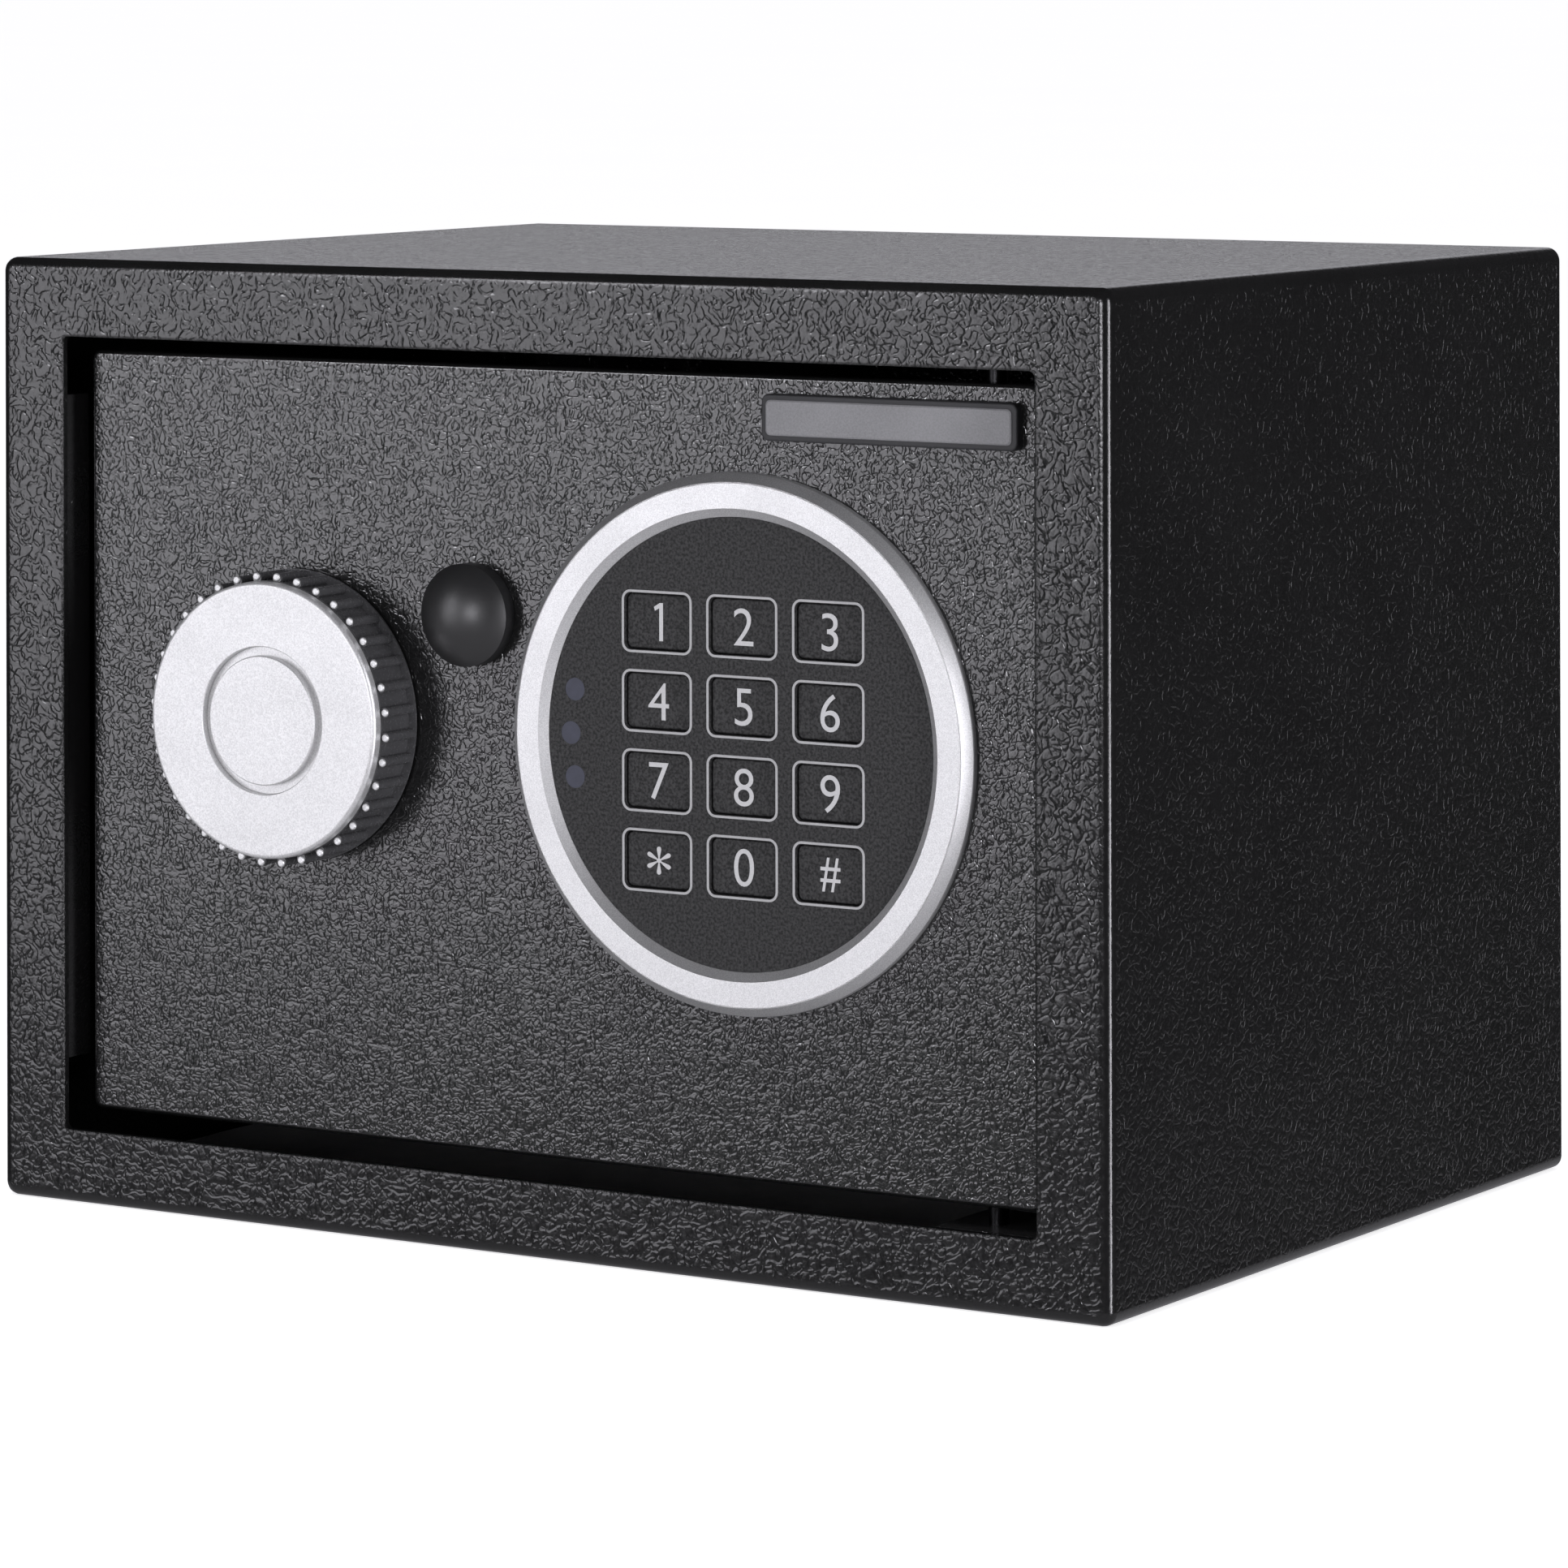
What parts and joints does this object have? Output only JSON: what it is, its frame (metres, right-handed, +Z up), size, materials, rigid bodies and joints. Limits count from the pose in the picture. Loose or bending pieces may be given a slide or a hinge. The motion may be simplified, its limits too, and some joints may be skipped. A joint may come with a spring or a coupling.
{
  "type": "small electronic safe",
  "caption": "Small steel safe: hinged door with a round digital keypad, a turn knob throwing the door bolts, a capped override lock, and bolt-down holes in floor and back.",
  "frame": {"origin": "centre of the underside of the steel body", "axes": "+X towards the hinge side (right, seen from the front), +Y from the front to the back, +Z up"},
  "size_m": [0.23, 0.1756, 0.17],
  "materials": {
    "body_paint": "black hammered powder coat, semi-gloss",
    "inner_paint": "thin black powder coat inside the safe",
    "floor_felt": "short dark grey felt",
    "zinc_steel": "bright zinc plating",
    "knob_silver": "fine satin silver",
    "knob_black": "satin charcoal plastic",
    "bezel_silver": "satin silver",
    "panel_black": "finely textured black",
    "lens_smoke": "dull blue-grey translucent",
    "silicone": "grey silicone rubber",
    "circuit_green": "green solder mask with black parts",
    "housing_black": "black moulded plastic",
    "dome_black": "satin black plastic",
    "lock_black": "black plated zinc",
    "brass": "turned brass",
    "coil_tape": "enamelled copper wound under amber tape",
    "cell_jacket": "plain grey jacket with a bright end",
    "contact_nickel": "nickel plating",
    "lead_rubber": "insulated leads",
    "reset_red": "red plastic"
  },
  "bodies": {
    "safe_body": {"body_wrap": "body_paint", "front_frame": "body_paint", "rear_panel": "body_paint", "strike_channel": "inner_paint", "hinge_sockets": "inner_paint", "floor_mat": "floor_felt"},
    "door": {"door_plate": "body_paint", "hinge_lugs": "inner_paint", "hinge_pins": "zinc_steel", "lock_case": "inner_paint", "lock_case_screws": "zinc_steel", "badge_plate": "housing_black", "knob_bushing": "brass", "bolt_guide": "zinc_steel", "guide_studs": "zinc_steel", "solenoid_frame": "zinc_steel", "solenoid_coil": "coil_tape", "solenoid_spring": "zinc_steel", "override_lock_body": "lock_black", "override_lock_nut": "zinc_steel", "bezel_ring": "bezel_silver", "keypad_faceplate": "panel_black", "led_windows": "lens_smoke", "key_mat": "silicone", "keypad_board": "circuit_green", "keypad_housing": "housing_black", "keypad_screws": "zinc_steel", "battery_holder": "housing_black", "battery_cells": "cell_jacket", "battery_contacts": "contact_nickel", "control_board": "circuit_green", "cables": "lead_rubber", "reset_switch": "housing_black"},
    "knob": {"knob_grip": "knob_black", "grip_studs": "knob_silver", "knob_face": "knob_silver", "knob_cap": "knob_silver", "knob_shaft": "zinc_steel", "knob_crank": "zinc_steel"},
    "carriage": {"bolt_carriage": "zinc_steel", "live_bolts": "zinc_steel"},
    "plunger": {"solenoid_plunger": "zinc_steel"},
    "override_key": {"override_plug": "brass", "override_cam": "zinc_steel", "cam_screw": "zinc_steel"},
    "dome_cap": {"override_cap": "dome_black"},
    "battery_lid": {"battery_cover": "housing_black"},
    "reset": {"reset_button": "reset_red"},
    "press_key_1": {"key_1": "panel_black"},
    "press_key_2": {"key_2": "panel_black"},
    "press_key_3": {"key_3": "panel_black"},
    "press_key_4": {"key_4": "panel_black"},
    "press_key_5": {"key_5": "panel_black"},
    "press_key_6": {"key_6": "panel_black"},
    "press_key_7": {"key_7": "panel_black"},
    "press_key_8": {"key_8": "panel_black"},
    "press_key_9": {"key_9": "panel_black"},
    "press_key_star": {"key_star": "panel_black"},
    "press_key_0": {"key_0": "panel_black"},
    "press_key_hash": {"key_hash": "panel_black"}
  },
  "joints": [
    {"name": "door_swing", "type": "hinge", "parent": "safe_body", "child": "door", "pos_m": [0.0878, -0.0745, 0.085], "axis": [0, 0, 1], "range_deg": [0, 100]},
    {"name": "knob_turn", "type": "hinge", "parent": "door", "child": "knob", "pos_m": [-0.0525, -0.085, 0.0901], "axis": [0, -1, 0], "range_deg": [0, 90]},
    {"name": "bolt_throw", "type": "slide", "parent": "door", "child": "carriage", "axis": [-1, 0, 0], "range_m": [0, 0.012]},
    {"name": "plunger_lift", "type": "slide", "parent": "door", "child": "plunger", "axis": [0, 0, 1], "range_m": [-0.005, 0], "deforming": ["solenoid_spring"]},
    {"name": "override_turn", "type": "hinge", "parent": "door", "child": "override_key", "pos_m": [-0.0151, -0.085, 0.1098], "axis": [0, 1, 0], "range_deg": [0, 90]},
    {"name": "dome_cap_pull", "type": "slide", "parent": "door", "child": "dome_cap", "axis": [0, -1, 0], "range_m": [0, 0.03]},
    {"name": "battery_lid_lift", "type": "slide", "parent": "door", "child": "battery_lid", "axis": [0, 1, 0], "range_m": [0, 0.03]},
    {"name": "reset_press", "type": "slide", "parent": "door", "child": "reset", "axis": [0, -1, 0], "range_m": [0, 0.0015]},
    {"name": "key_1_press", "type": "slide", "parent": "door", "child": "press_key_1", "axis": [0, 1, 0], "range_m": [0, 0.0006]},
    {"name": "key_2_press", "type": "slide", "parent": "door", "child": "press_key_2", "axis": [0, 1, 0], "range_m": [0, 0.0006]},
    {"name": "key_3_press", "type": "slide", "parent": "door", "child": "press_key_3", "axis": [0, 1, 0], "range_m": [0, 0.0006]},
    {"name": "key_4_press", "type": "slide", "parent": "door", "child": "press_key_4", "axis": [0, 1, 0], "range_m": [0, 0.0006]},
    {"name": "key_5_press", "type": "slide", "parent": "door", "child": "press_key_5", "axis": [0, 1, 0], "range_m": [0, 0.0006]},
    {"name": "key_6_press", "type": "slide", "parent": "door", "child": "press_key_6", "axis": [0, 1, 0], "range_m": [0, 0.0006]},
    {"name": "key_7_press", "type": "slide", "parent": "door", "child": "press_key_7", "axis": [0, 1, 0], "range_m": [0, 0.0006]},
    {"name": "key_8_press", "type": "slide", "parent": "door", "child": "press_key_8", "axis": [0, 1, 0], "range_m": [0, 0.0006]},
    {"name": "key_9_press", "type": "slide", "parent": "door", "child": "press_key_9", "axis": [0, 1, 0], "range_m": [0, 0.0006]},
    {"name": "key_star_press", "type": "slide", "parent": "door", "child": "press_key_star", "axis": [0, 1, 0], "range_m": [0, 0.0006]},
    {"name": "key_0_press", "type": "slide", "parent": "door", "child": "press_key_0", "axis": [0, 1, 0], "range_m": [0, 0.0006]},
    {"name": "key_hash_press", "type": "slide", "parent": "door", "child": "press_key_hash", "axis": [0, 1, 0], "range_m": [0, 0.0006]}
  ],
  "couplings": [
    {"joint": "bolt_throw", "follows": "knob_turn", "m_per_rad": 0.007639}
  ]
}
